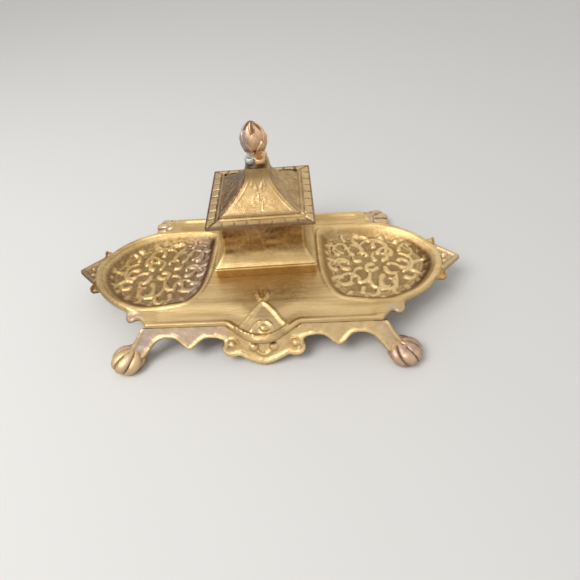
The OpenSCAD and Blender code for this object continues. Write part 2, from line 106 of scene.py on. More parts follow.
# Finial and feet
neck_height = 7.4
neck_r = 6.4
bud_height = 17.9
bud_r = 7.5
stud_r = 1.5
foot_x = 82.5
foot_y = 61.3
foot_r = 10.3
foot_height = 11.8

# Aprons: each falls from the plate's long edge and leans outward
apron_run = 15.9
apron_fall = 20.3
apron_length = math.hypot(apron_run, apron_fall)
apron_wall = 3
apron_cell = 0.75
tab_x = 62
tab_half = 7
tab_wall = 2.8
pearl = (5.8, 14.4)
volute = (18.6, 13.1)


def curve(points, steps=6, closed=False):
    """A smooth line through given points."""
    p = np.array(points, float)
    n = len(p)
    spans = n if closed else n - 1
    pick = (lambda i: p[i % n]) if closed else (lambda i: p[min(max(i, 0), n - 1)])
    out = []
    for i in range(spans):
        a, b, c, d = pick(i - 1), pick(i), pick(i + 1), pick(i + 2)
        for k in range(steps):
            t = k / steps
            out.append(0.5 * (2 * b + (c - a) * t + (2 * a - 5 * b + 4 * c - d) * t ** 2
                              + (3 * b - a - 3 * c + d) * t ** 3))
    return np.array(out if closed else out + [p[-1]])


def to_line(points, line, closed=False):
    """Distance of flat points from a line, the nearest place on it, and how far along it that place is."""
    line = np.asarray(line, float)
    ends = np.roll(line, -1, axis=0) if closed else line[1:]
    gap = np.full(len(points), 1e6)
    spot = np.array(points, float)
    share = np.zeros(len(points))
    count = len(ends)
    for i in range(count):
        a, run = line[i], ends[i] - line[i]
        t = np.clip((points - a) @ run / max(run @ run, 1e-9), 0, 1)
        near = a + t[:, None] * run
        far = np.hypot(*(points - near).T)
        closer = far < gap
        gap[closer] = far[closer]
        spot[closer] = near[closer]
        share[closer] = (i + t[closer]) / count
    return gap, spot, share


def inside(points, outline):
    """True for flat points within a closed outline."""
    found = np.zeros(len(points), bool)
    for a, b in zip(outline, np.roll(outline, -1, axis=0)):
        crosses = (a[1] > points[:, 1]) != (b[1] > points[:, 1])
        rise = b[1] - a[1] if b[1] != a[1] else 1e-9
        found ^= crosses & (points[:, 0] < a[0] + (points[:, 1] - a[1]) * (b[0] - a[0]) / rise)
    return found


def depth_in(points, outline):
    """How deep flat points lie within an outline, with a minus sign outside it."""
    gap = to_line(points, outline, True)[0]
    return np.where(inside(points, outline), gap, -gap)


def smooth(t):
    """Eased step from 0 to 1."""
    t = np.clip(t, 0, 1)
    return t * t * (3 - 2 * t)


def dome(gap, half):
    """Round bump: 1 on its middle, 0 at its edge."""
    return np.sqrt(np.clip(1 - (gap / half) ** 2, 0, 1))


def strokes(points, lines):
    """Height of ridges along lines, each with its points, half width, share left at its tail and height."""
    height = np.zeros(len(points))
    for line, half, tail, rise in lines:
        path = curve(line, 4)
        low, high = path.min(0) - half, path.max(0) + half
        near = np.all((points > low) & (points < high), axis=1)
        if near.any():
            gap, _, share = to_line(points[near], path)
            thin = half * (1 - (1 - tail) * share ** 1.5)
            height[near] = np.maximum(height[near], rise * (0.5 + 0.5 * thin / half) * dome(gap, thin))
    return height


def arc(x, y, radius, start, stop):
    """Places along part of a circle."""
    turns = np.radians(np.linspace(start, stop, 9))
    return np.stack([x + radius * np.cos(turns), y + radius * np.sin(turns)], 1)


def leaf(x, y, heading, length, bend, half=1.3, rise=1.0):
    """A comma-shaped leaf: a bulb drawn out into a curling tip."""
    spots = [(x, y)]
    for k in range(4):
        turn = math.radians(heading + bend * k / 4)
        x, y = x + length / 4 * math.cos(turn), y + length / 4 * math.sin(turn)
        spots.append((x, y))
    return (spots, half, 0.25, rise)


def ball(points, x, y, radius, rise):
    """Height of a round bump."""
    return rise * dome(np.hypot(points[:, 0] - x, points[:, 1] - y), radius)


def rolled(edge, width, fall):
    """How far a sheet's face falls away within a width of its edge."""
    return fall * (1 - dome(np.clip(width - edge, 0, width), width))


def mirrored(points):
    """Both halves of a piece seen as the right-hand one."""
    return np.stack([np.abs(points[:, 0]), points[:, 1]], 1)


def turned(u, radius, z):
    """Places once round an upright axis."""
    angle = 2 * math.pi * u
    return np.stack([radius * np.cos(angle), radius * np.sin(angle), z], 1)


def rough(points, size, seed=0):
    """Soft uneven swelling of a hand-worked casting, about 1 to -1, with bumps of a size in mm."""
    turn = np.random.default_rng(seed)
    total = np.zeros(len(points))
    for _ in range(9):
        way = turn.normal(size=points.shape[1])
        way *= 2 * math.pi / (size * np.linalg.norm(way) * turn.uniform(0.7, 1.8))
        total += np.sin(points @ way + turn.uniform(0, 2 * math.pi))
    return total / 4


def cut_sheet(outline, cell):
    """A flat sheet of square cells, cut to an outline and pulled onto it."""
    low, high = outline.min(0) - cell, outline.max(0) + cell
    count = np.ceil((high - low) / cell).astype(int)
    bm = bmesh.new()
    bmesh.ops.create_grid(bm, x_segments=int(count[0]), y_segments=int(count[1]), size=0.5)
    middle = (low + high) / 2
    bmesh.ops.scale(bm, vec=(high[0] - low[0], high[1] - low[1], 1), verts=bm.verts[:])
    bmesh.ops.translate(bm, vec=(middle[0], middle[1], 0), verts=bm.verts[:])
    centres = np.array([f.calc_center_median()[:2] for f in bm.faces])
    kept = inside(centres, outline)
    outer = [f for f, keep in zip(bm.faces, kept) if not keep]
    bmesh.ops.delete(bm, geom=outer, context="FACES")
    for _ in range(3):
        ears = [f for f in bm.faces if sum(e.is_boundary for e in f.edges) > 2]
        ears += [v.link_faces[0] for v in bm.verts if sum(e.is_boundary for e in v.link_edges) > 2]
        if ears:
            bmesh.ops.delete(bm, geom=list(dict.fromkeys(ears)), context="FACES")
    edge = [v for v in bm.verts if v.is_boundary]
    spots = to_line(np.array([v.co[:2] for v in edge]), outline, True)[1]
    for v, spot in zip(edge, spots):
        v.co.xy = spot
    gap = to_line(np.array([v.co[:2] for v in bm.verts]), outline, True)[0]
    close = [v for v, g in zip(bm.verts, gap) if g < 2.5 * cell and not v.is_boundary]
    for _ in range(4):
        bmesh.ops.smooth_vert(bm, verts=close, factor=0.5, use_axis_x=True, use_axis_y=True)
    return bm


def thicken_sheet(bm, top, under):
    """Gives a flat sheet its two faces, each a height worked out from the place, and walls between them."""
    made = bmesh.ops.extrude_face_region(bm, geom=bm.faces[:])
    upper = {g for g in made["geom"] if isinstance(g, bmesh.types.BMVert)}
    flat = np.array([v.co[:2] for v in bm.verts])
    high, low = top(flat), under(flat)
    for v, h, l in zip(bm.verts, high, low):
        v.co.z = h if v in upper else min(l, h - 0.6)
    walls = [e for e in bm.edges if (e.verts[0] in upper) != (e.verts[1] in upper)]
    bmesh.ops.subdivide_edges(bm, edges=walls, cuts=2, use_grid_fill=True)


def wrapped(columns, rows, place):
    """A closed skin: a grid, with columns round it and rows along it, put in place and welded."""
    bm = bmesh.new()
    bmesh.ops.create_grid(bm, x_segments=columns, y_segments=rows, size=0.5)
    flat = np.array([v.co[:2] for v in bm.verts]) + 0.5
    for v, spot in zip(bm.verts, place(flat[:, 0] % 1, flat[:, 1])):
        v.co = spot
    bmesh.ops.remove_doubles(bm, verts=bm.verts[:], dist=0.002)
    return bm


def raised(form, relief, step=0.003):
    """Lifts a skin along its own outward direction by a relief."""
    def place(u, v):
        """Place on the lifted skin."""
        across = form((u + step) % 1, v) - form((u - step) % 1, v)
        along = form(u, np.clip(v + step, 0, 1)) - form(u, np.clip(v - step, 0, 1))
        out = np.cross(across, along)
        out /= np.maximum(np.linalg.norm(out, axis=1, keepdims=True), 1e-6)
        spot = form(u, v)
        return spot + out * relief(u, v, spot)[:, None]
    return place


def square(u):
    """Once round a square of half side 1, from its front left corner."""
    side = np.floor(4 * u).astype(int) % 4
    t = 2 * (4 * u - np.floor(4 * u)) - 1
    x = np.choose(side, [t, np.ones_like(t), -t, -np.ones_like(t)])
    y = np.choose(side, [-np.ones_like(t), t, np.ones_like(t), -t])
    return x, y


def ring(u, half_x, half_y, corner):
    """Once round an upright-sided section with rounded corners."""
    x, y = square(u)
    x, y = x * half_x, y * half_y
    corner = np.minimum(corner, np.minimum(half_x, half_y))
    core_x = np.clip(x, corner - half_x, half_x - corner)
    core_y = np.clip(y, corner - half_y, half_y - corner)
    out = np.maximum(np.hypot(x - core_x, y - core_y), 1e-6)
    return core_x + corner * (x - core_x) / out, core_y + corner * (y - core_y) / out


def along(v, stations):
    """Values between stations, each given as its share and its values."""
    shares = [s[0] for s in stations]
    return [np.interp(v, shares, [s[k] for s in stations]) for k in range(1, len(stations[0]))]


def swell(t, straight):
    """Share of the height at a share of the way in, for a hollow roof or cove."""
    return (1 - straight) * (1 - np.sqrt(np.clip(1 - t * t, 0, 1))) + straight * t


def on_case(bm):
    """Stands a piece drawn on the case's own axes on the plate."""
    turn = Matrix.Translation((0, case_y, deck)) @ Matrix.Rotation(case_turn, 4, "Z")
    bmesh.ops.transform(bm, matrix=turn, verts=bm.verts[:])


def from_case(p):
    """Places seen on the case's own axes again."""
    x, y = p[:, 0], p[:, 1] - case_y
    turn, lean = math.cos(case_turn), math.sin(case_turn)
    return x * turn + y * lean, y * turn - x * lean, p[:, 2] - deck


def rounded_block(bm, low, high, edge):
    """A block with softened edges, added to a mesh."""
    made = bmesh.ops.create_cube(bm, size=1)["verts"]
    size = [b - a for a, b in zip(low, high)]
    bmesh.ops.scale(bm, vec=size, verts=made)
    bmesh.ops.translate(bm, vec=[(a + b) / 2 for a, b in zip(low, high)], verts=made)
    edges = list(dict.fromkeys(e for v in made for e in v.link_edges))
    bmesh.ops.bevel(bm, geom=edges, offset=edge, segments=2, affect="EDGES", profile=0.5, material=-1)


def bar(bm, length, radius, middle):
    """A round bar along x with softened ends, added to a mesh."""
    made = bmesh.ops.create_cone(bm, cap_ends=True, segments=40, radius1=radius, radius2=radius, depth=length)
    verts = made["verts"]
    rims = [e for e in dict.fromkeys(e for v in verts for e in v.link_edges)
            if abs(e.verts[0].co.z - e.verts[1].co.z) < 1e-4]
    bmesh.ops.rotate(bm, matrix=Matrix.Rotation(math.pi / 2, 3, "Y"), verts=verts)
    bmesh.ops.translate(bm, vec=middle, verts=verts)
    bmesh.ops.bevel(bm, geom=rims, offset=0.25, segments=2, affect="EDGES", profile=0.5, material=-1)


def linear(hexa):
    """An sRGB hex colour as linear light."""
    parts = [int(hexa[i:i + 2], 16) / 255 for i in (0, 2, 4)]
    return [c / 12.92 if c <= 0.04045 else ((c + 0.055) / 1.055) ** 2.4 for c in parts] + [1]


def add(tree, kind, links=None, **settings):
    """A shader node with its settings, its sockets set or linked; a node stands for its first output."""
    node = tree.nodes.new("ShaderNode" + kind)
    for name, value in settings.items():
        setattr(node, name, value)
    for name, value in (links or {}).items():
        if isinstance(value, bpy.types.Node):
            value = value.outputs[0]
        if isinstance(value, bpy.types.NodeSocket):
            tree.links.new(value, node.inputs[name])
        else:
            node.inputs[name].default_value = value
    return node


def empty_material(name):
    """A material without nodes, its node tree, and places in the object for its patterns."""
    material = bpy.data.materials.new(name)
    material.use_nodes = True
    tree = material.node_tree
    tree.nodes.clear()
    return material, tree, add(tree, "TexCoord").outputs["Object"]


def brass(name, pale, mid, worked, deep, rosy, rough_low=0.28, rough_high=0.5):
    """Sand-cast brass: grainy, pale where it is rubbed, brown or rosy grey where polish never reaches; pale
    and brown are also painted highlight and painted shade.
    """
    material, tree, place = empty_material(name)
    worn, brown, pink, rubbed = [add(tree, "Attribute", attribute_name=key).outputs["Fac"]
                                 for key in ("worn", "brown", "pink", "rubbed")]
    # Clouds of tarnish about 15 mm across and spots of 2.5 mm
    cloud = add(tree, "TexNoise", {"Vector": place, "Scale": 65, "Detail": 5, "Roughness": 0.6})
    spots = add(tree, "TexNoise", {"Vector": place, "Scale": 400, "Detail": 4, "Roughness": 0.7})
    # Sand grain of 0.6 mm and polishing streaks 0.7 mm apart that run along the stand
    grain = add(tree, "TexNoise", {"Vector": place, "Scale": 1600, "Detail": 3, "Roughness": 0.7})
    drawn = add(tree, "Mapping", {"Vector": place, "Scale": (60, 1400, 1400)})
    streak = add(tree, "TexNoise", {"Vector": drawn, "Scale": 1, "Detail": 4, "Roughness": 0.65})
    streak = add(tree, "Mix", {"Factor": rubbed, "A": spots, "B": streak})
    fleck = add(tree, "MapRange", {"Value": streak, "From Min": 0.42, "From Max": 0.62, "To Max": 0.55})
    # Darker streaks 5 mm apart and 70 mm long where hands and pens rubbed the flats
    drawn = add(tree, "Mapping", {"Vector": place, "Scale": (14, 200, 200)})
    wipe = add(tree, "TexNoise", {"Vector": drawn, "Scale": 1, "Detail": 5, "Roughness": 0.65})
    wipe = add(tree, "MapRange", {"Value": wipe, "From Min": 0.46, "From Max": 0.7, "To Max": 0.7})
    wipe = add(tree, "Math", {0: wipe, 1: rubbed}, operation="MULTIPLY")
    # Dirt and bloom cover the spots unevenly
    patchy = add(tree, "MapRange", {"Value": spots, "From Min": 0.3, "From Max": 0.7,
                                    "To Min": 0.8, "To Max": 1.15})
    pink, brown = [add(tree, "Math", {0: patchy, 1: share}, operation="MULTIPLY", use_clamp=True)
                   for share in (pink, brown)]
    tone = add(tree, "MapRange", {"Value": cloud, "From Min": 0.35, "From Max": 0.65})
    tone = add(tree, "Mix", {"Factor": tone, 6: linear(mid), 7: linear(pale)}, data_type="RGBA").outputs[2]
    # The worn and brown shares carry painted highlight and painted shade as well as wear and patina
    for share, colour in ((fleck, mid), (worn, pale), (wipe, worked), (pink, rosy), (brown, deep)):
        tone = add(tree, "Mix", {"Factor": share, 6: tone, 7: linear(colour)}, data_type="RGBA").outputs[2]
    gloss = add(tree, "MapRange", {"Value": spots, "From Min": 0.3, "From Max": 0.7,
                                   "To Min": rough_low, "To Max": rough_high})
    coarse = add(tree, "Bump", {"Height": streak, "Strength": 0.5, "Distance": 0.0003})
    fine = add(tree, "Bump", {"Height": grain, "Strength": 0.6, "Distance": 0.0002, "Normal": coarse})
    shade = add(tree, "BsdfPrincipled", {"Base Color": tone, "Metallic": 1, "Roughness": gloss,
                                         "Normal": fine})
    add(tree, "OutputMaterial", {"Surface": shade})
    return material


# Cast brass, polished long ago: sand grain under a warm uneven shine, pale on edges and brown in hollows
cast_brass = brass("aged_cast_brass", "DFC28C", "C3A065", "A6834A", "60452A", "B9A496")
# Cast brass with more copper in it: the same grain, rosier and duller
coppery_brass = brass("coppery_cast_brass", "E0BC96", "BF9874", "96704E", "54392B", "A1918D")
# Cast brass that damp has stained: rosy metal under a blue-grey bloom of verdigris
stained_brass = brass("verdigris_stained_brass", "DDB988", "B98F5E", "96704E", "503A2A", "B4BABA")
# Brass turned from bar for the screws, pin, stud, washer and nut: an even, tighter shine
turned_brass = brass("turned_brass", "D2B274", "B08F55", "9A7740", "5E4428", "A58E80", 0.22, 0.36)


def glazed_porcelain():
    """Porcelain: milky white under a clear, crazed and glossy glaze, dark where the ink stood."""
    material, tree, place = empty_material("glazed_porcelain")
    inked = add(tree, "Attribute", attribute_name="inked").outputs["Fac"]
    # Clay a little uneven over 12 mm, crazing in cells of 3 mm
    cloud = add(tree, "TexNoise", {"Vector": place, "Scale": 80, "Detail": 4})
    tone = add(tree, "Mix", {"Factor": cloud, 6: linear("EFEBE0"), 7: linear("DED8C8")},
               data_type="RGBA").outputs[2]
    crack = add(tree, "TexVoronoi", {"Vector": place, "Scale": 330}, feature="DISTANCE_TO_EDGE")
    craze = add(tree, "MapRange", {"Value": crack, "From Min": 0.01, "From Max": 0.03,
                                   "To Min": 0.3, "To Max": 0})
    for share, colour in ((craze, "A89A80"), (inked, "23242E")):
        tone = add(tree, "Mix", {"Factor": share, 6: tone, 7: linear(colour)}, data_type="RGBA").outputs[2]
    gloss = add(tree, "MapRange", {"Value": cloud, "To Min": 0.1, "To Max": 0.2})
    wave = add(tree, "Bump", {"Height": cloud, "Strength": 0.3, "Distance": 0.0004})
    shade = add(tree, "BsdfPrincipled", {"Base Color": tone, "Roughness": gloss, "Normal": wave,
                                         "Coat Weight": 0.6, "Coat Roughness": 0.05})
    add(tree, "OutputMaterial", {"Surface": shade})
    return material


porcelain = glazed_porcelain()


def finish_piece(name, bm, body, material, node, paint):
    """Turns a shape to metres, gives it its material and its painted wear and painted shade, and sets it on
    its body.
    """
    bmesh.ops.recalc_face_normals(bm, faces=bm.faces[:])
    places = np.array([v.co for v in bm.verts])
    bmesh.ops.scale(bm, vec=(MM, MM, MM), verts=bm.verts[:])
    mesh = bpy.data.meshes.new(name)
    bm.to_mesh(mesh)
    bm.free()
    mesh.shade_smooth()
    mesh.set_sharp_from_angle(angle=sharp_edge)
    mesh.materials.append(material)
    for key, values in paint(places).items():
        layer = mesh.attributes.new(key, "FLOAT", "POINT")
        layer.data.foreach_set("value", np.clip(values, 0, 1).astype(np.float32))
    piece = bpy.data.objects.new(name, mesh)
    bpy.context.scene.collection.objects.link(piece)
    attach(piece, body)
    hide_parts(node)


def tongue(x):
    """How far the front edge swells out at x."""
    return tongue_reach * np.clip(1 - (x / tongue_half) ** 2, 0, 1) ** 1.3


def plate_outline():
    """Outline of the plate, from the right-hand point round by the back."""
    end = [(126.6, 1), (123.2, 4.2), (119.4, 7.6), (115.4, 11.2), (113.8, 13.6), (114.9, 15.6),
           (114.4, 18), (112.5, 19.2), (110.6, 19)]
    front_scroll = [(84.7, 37.8), (84.6, 40.4), (83.6, 43), (81.6, 44.9), (79.2, 45.2), (77.4, 43.9),
                    (75.2, 43.9), (72.8, 46.2)]
    rear_scroll = [(76.6, 40.4), (77.6, 42.4), (77.5, 45), (76.1, 47), (74, 47.7), (72.3, 47.5), (71, 48.8)]
    # On each side the rim runs from the cartouche to a corner's scroll, both given as reach from its centre
    rim_start = 67.6
    sides = []
    for reach, scroll in ((36.5, rear_scroll), (45.5, front_scroll)):
        turns = np.linspace(math.acos(rim_start / rim_reach), math.acos(reach / rim_reach), 14)
        rim = [(tray_centre + rim_reach * math.cos(a), rim_half * math.sin(a)) for a in turns]
        line = [tuple(p) for p in curve(end + rim, 3)] + [tuple(p) for p in curve(scroll, 3)]
        sides.append(line + [(ridge_x, ridge_y)])
    rear, front = sides
    middle = [(x, -ridge_y - tongue(x)) for x in np.linspace(-tongue_half, tongue_half, 45)]
    return np.array([(point_x, 0)] + rear + [(-x, y) for x, y in reversed(rear)] + [(-point_x, 0)]
                    + [(-x, -y) for x, y in front] + middle + [(x, -y) for x, y in reversed(front)])


plate_edge = plate_outline()
front_brow = [(x, -ridge_y - tongue(x)) for x in np.linspace(-ridge_x, ridge_x, 64)]
tray_edge = curve([(36, 27), (35.9, 10), (36.7, -7), (39.6, -21), (44.5, -29.5), (50, -33), (58, -34.4),
                   (66, -35.7), (74, -35.9), (80, -34.8), (86.5, -32), (94, -28), (101, -21.5),
                   (106.5, -13.5), (109.7, -6), (110.5, 0), (109.5, 6), (106, 12.5), (101, 19), (95, 24.2),
                   (88, 28.4), (80, 31.6), (70, 33.6), (60, 34.2), (50, 34.2), (43, 33.6),
                   (38.2, 31.4)], 3, True)
crest_edge = curve([(-0.9, -34.5), (-4, -38), (-8.5, -45), (-13, -51), (-15.6, -54.6), (-13.5, -57.4),
                    (-8, -60.2), (0.4, -61.4), (8, -59.6), (13, -56), (14.9, -52.4), (11.5, -48),
                    (7.5, -42.3), (3, -37)], 4, True)
tray_scrolls = [(arc(*circle), 1.5, tail, 1.25) for tail, *circle in (
    (0.5, 73, 15.3, 9.2, -25, 215), (0.5, 76, -14, 8.9, 160, 395), (0.6, 57.5, 23.5, 12.75, 184, 248),
    (0.5, 50, 1, 5.1, 10, 175), (0.5, 54, -15, 6.9, 15, 165), (0.7, 89, 1, 8.4, -80, 80))]


def tray_leaves():
    """Curling leaves that fill a tray, spreading from the middle of its ornament."""
    chance = np.random.default_rng(11)
    middle_x = 76
    leaves = []
    for ring_at, count in enumerate((6, 10, 15, 20, 23)):
        for k in range(count):
            turn = 2 * math.pi * (k + 0.5 * (ring_at % 2)) / count
            reach = 5 + 7.3 * ring_at
            x, y = middle_x + reach * 1.12 * math.cos(turn), reach * 0.88 * math.sin(turn)
            bend = (150 if k % 2 else -150) * chance.uniform(0.6, 1.2)
            heading = math.degrees(turn) + chance.uniform(-35, 35)
            length = chance.uniform(9, 12.5)
            half = chance.uniform(1.6, 2.2)
            rise = chance.uniform(1.0, 1.4)
            leaves.append(leaf(x, y, heading, length, bend, half, rise))
    return leaves


tray_relief = tray_scrolls + tray_leaves()
crest_spiral = [(-6, -55.5), (-3.4, -51), (2, -50), (5.6, -53), (4.4, -56.6), (0.4, -57.2), (-1.8, -54.8)]
crest_relief = [leaf(-1, -34, 128, 9.5, -50, 1.5, 1.3),
                leaf(-0.6, -34, 55, 9.5, 50, 1.5, 1.3),
                leaf(-0.9, -36, 92, 11, 0, 1.2, 1.1),
                (crest_spiral, 1.1, 0.7, 1.2)]


def cast_relief(points):
    """Heights of the trays' leaves and of the front's crest, and how deep in a tray a place lies."""
    half = mirrored(points)
    tray = depth_in(half, tray_edge)
    leaves = strokes(half, tray_relief) * smooth((tray - 3.5) / 3)
    # Two fine lines round each tray, under the leaves
    leaves += (0.4 * dome(np.abs(tray - 7.6), 0.9) + 0.3 * dome(np.abs(tray - 9.8), 0.8)) * (leaves < 0.1)
    deep = depth_in(points, crest_edge)
    crest = 1.1 * smooth((deep + 0.8) / 1.4) - 0.6 * smooth((deep - 1.9) / 1.2)
    crest += 0.6 * dome(np.abs(deep - 0.9), 1.1)
    crest = np.maximum(crest, strokes(points, crest_relief) * 1.3)
    crest += ball(points, 0.6, -53.6, 1.7, 0.7)
    return leaves, crest, tray


def plate_top(points):
    """Height of the plate's upper face."""
    half = mirrored(points)
    x, y = half.T
    front = points[:, 1] < 0
    leaves, crest, tray = cast_relief(points)
    past = np.clip(x - ridge_x, 0, None)
    brow = np.where(front, to_line(points, front_brow)[0], np.hypot(past, ridge_y - y))
    # The front rest has its trough close behind the edge; the short ones at the back have round ends
    front_rest = front_rest_depth * smooth((17 - brow) / 10) * smooth((brow - 1.6) / 2.6)
    front_rest = front_rest * smooth((ridge_x - 1 - x) / 6)
    back_line = [(30, back_rest_y), (60, back_rest_y)]
    back_rest = back_rest_depth * dome(to_line(half, back_line)[0], back_rest_half) ** 1.2
    height = deck - np.where(front, front_rest, back_rest)
    height += 0.5 * dome(np.abs(brow - 1.4), 2.4) * (x < ridge_x + 1)
    height += np.where(front, crest, 0)
    bowl = np.clip(tray / tray_run, 0, 1)
    height = np.where(tray > 0, deck - tray_depth * np.sin(bowl * math.pi / 2) ** 1.2, height)
    height += leaves
    # The rim: proud and rounded round the outer end, a fine bead along the inner side
    outer = smooth((x - np.where(front, 74, 68)) / 10)
    falls = 0.55 * np.clip(-tray - 2.8, 0, 3) * (x < cartouche_x + 1)
    height += outer * (1.25 * dome(np.abs(tray + 2.1), 2.5) - falls)
    height += (1 - outer) * 0.5 * dome(np.abs(tray + 0.9), 1.1)
    # The cartouche at each end: a raised line round a sunk ground with two buttons
    edge = depth_in(points, plate_edge)
    point = smooth((x - cartouche_x - 0.5) / 2) * (tray < -3.6)
    height += point * (1.2 * dome(np.abs(edge - 1.7), 1.5) - 1.2)
    height += point * (ball(half, 117.4, 1.6, 2.3, 1.8) + ball(half, 116.6, -3.6, 1.5, 1.2))
    height += ball(half, 112.6, 16.9, 2.2, 0.9)
    # A scroll at each front corner, a rosette at each rear one
    scroll = ball(half, 81.8, 42.2, 2.7, 1.2) + 0.5 * dome(np.abs(np.hypot(x - 76.4, y - 46.6) - 2.4), 0.9)
    rosette = ball(half, 73.9, 43.8, 3.5, 1.5) - ball(half, 73.9, 43.8, 1.3, 0.9)
    rosette += ball(half, 71.2, 47.2, 1.6, 0.7)
    height += np.where(front, scroll, rosette) * (x > ridge_x + 1)
    return height - rolled(edge, 1.5, 1.3)


def plate_under(points):
    """Height of the plate's lower face: flat, with the trays' bowls standing below it."""
    half = mirrored(points)
    tray = depth_in(half, tray_edge)
    bowl = np.sin(np.clip((tray + 1.5) / tray_run, 0, 1) * math.pi / 2)
    low = deck - deck_wall - (tray_depth + bowl_wall - deck_wall + 0.2) * bowl
    return low + rolled(depth_in(points, plate_edge), 0.8, 0.7)


def plate_wear_and_shade(p):
    """Where the plate is rubbed pale, brown or rosy grey, with painted shade in the front trough and on two
    tray walls.
    """
    x, y, z = p.T
    leaves, crest, tray = cast_relief(p[:, :2])
    upper = smooth((z - deck + tray_depth + 0.3) / 0.6)
    sunk = smooth((tray - 0.4) / 3) * upper
    ground = sunk * (1 - np.clip(leaves / 0.75, 0, 1))
    tops = sunk * np.clip(leaves / 1.1, 0, 1)
    left = smooth(-x / 4)
    # Painted shadow: the walls just inside a tray's rim, browned at the right tray's outer end
    rim_wall_shadow = sunk * smooth((9 - tray) / 4)
    inner = smooth((70 - np.abs(x)) / 30)
    brown = ground * (0.48 + 0.12 * left) + 0.16 * sunk * left + rim_wall_shadow * smooth((x - 86) / 14) * 0.5
    brown += 0.6 * smooth((-x - cartouche_x) / 2) * (tray < -3)
    under = smooth((deck - 1.6 - z) / 1.4) * (1 - upper * smooth(tray / 2))
    hollow = smooth((crest + 0.2) / 0.5) * (1 - smooth((crest - 0.7) / 0.7)) * (y < 0)
    edge = smooth((z - deck - 0.2) / 0.7) * (tray < 0)
    # Painted shade: a darker brown line along the bottom of the front rest's trough, just behind the edge
    trough_shade = np.exp(-((y + ridge_y - 4.4) / 1.5) ** 2) * (np.abs(x) < 66)
    # Painted shade: the left tray's wall on its inner side, by the case, darker brown
    inner_wall_shade = sunk * left * smooth((7 - tray) / 4) * smooth((48 - np.abs(x)) / 8)
    brown += 0.55 * under + 0.12 * hollow + 0.1 * trough_shade + 0.3 * inner_wall_shade
    brown += 0.4 * smooth((-x - 86) / 14) * (tray < 0.5) * (x > -cartouche_x - 1)
    brown += 0.14 * smooth((y - 36) / 4) * left
    pink = sunk * left * inner * 0.75 + hollow * 0.18 + smooth((np.abs(x) - cartouche_x) / 3) * 0.35
    pink += smooth((np.abs(x) - 71) / 3) * smooth((np.abs(y) - 38) / 3) * 0.5
    held = smooth((-y - 26) / 6) * (tray < 0) * smooth((66 - np.abs(x)) / 6)
    worn = 0.6 * edge + tops * (0.9 - 0.75 * left) + (0.3 + 0.4 * held) * (1 - sunk) * (1 - under)
    return {"worn": worn, "brown": brown, "pink": pink, "rubbed": 1 - sunk}


def make_plate():
    """The stand's top, cast in one with its trays, rim and cartouches."""
    bm = cut_sheet(plate_edge, plate_cell)
    thicken_sheet(bm, plate_top, plate_under)
    finish_piece("tray_plate_cast", bm, "stand", cast_brass, "tray_plate", plate_wear_and_shade)


apron_half = [(5, 0.955), (10.5, 0.865), (14.4, 0.785), (17.5, 0.8), (21.2, 0.79), (24, 0.715), (25, 0.575),
              (23.8, 0.43), (26, 0.37), (30, 0.335), (34, 0.34), (37.8, 0.42), (41, 0.53), (44.2, 0.59),
              (47.6, 0.52), (50.6, 0.39), (53.4, 0.32), (58, 0.305), (62.4, 0.36), (65.8, 0.465), (69, 0.62),
              (72, 0.76), (75.4, 0.825)]
leg_side = [(82.5, 0.825), (82.5, 0.62), (79.9, 0.48), (77.3, 0.35), (74.7, 0.18), (72.1, 0)]


def apron_outline():
    """Outline of an apron laid flat: x along the plate's edge, y down the slope."""
    right = [(x, s * apron_length) for x, s in [(0, 1)] + apron_half]
    line = [tuple(p) for p in curve(right, 4)] + [(x, s * apron_length) for x, s in leg_side]
    return np.array(line + [(-x, s) for x, s in reversed(line[1:])])


apron_edge = apron_outline()
apron_curls = [(arc(0, 14.8, 4.4, 35, 145), 1.2, 0.9, 1.1),
               (arc(*volute, 3.7, -170, 60), 0.9, 0.8, 0.9)]


def apron_lip(points):
    """The raised lip along an apron's scalloped edge and down both sides of its legs."""
    half_way = (len(apron_edge) + 1) // 2
    edge = to_line(points, np.vstack([apron_edge[half_way:], apron_edge[:half_way]]))[0]
    x, s = np.abs(points[:, 0]), points[:, 1]
    wide = 1.3 + 0.5 * smooth((24 - x) / 3)
    return dome(np.abs(edge - wide), wide) * smooth((s - 1) / 3)


def apron_face(points):
    """Height of an apron's outer face above its flat middle."""
    half = mirrored(points)
    balls = ball(half, *volute, 1.9, 1.6) + ball(half, *pearl, 2.8, 2.2)
    raised_parts = apron_lip(points) + np.maximum(balls, strokes(half, apron_curls))
    uneven = 0.14 * rough(points, 7, 3) + 0.09 * rough(points, 2.6, 4)
    return 0.9 * (raised_parts - 1) + uneven - rolled(depth_in(points, apron_edge), 1, 0.9)


def apron_back(points):
    """Height of an apron's flat back."""
    return rolled(depth_in(points, apron_edge), 0.8, 0.7) - apron_wall


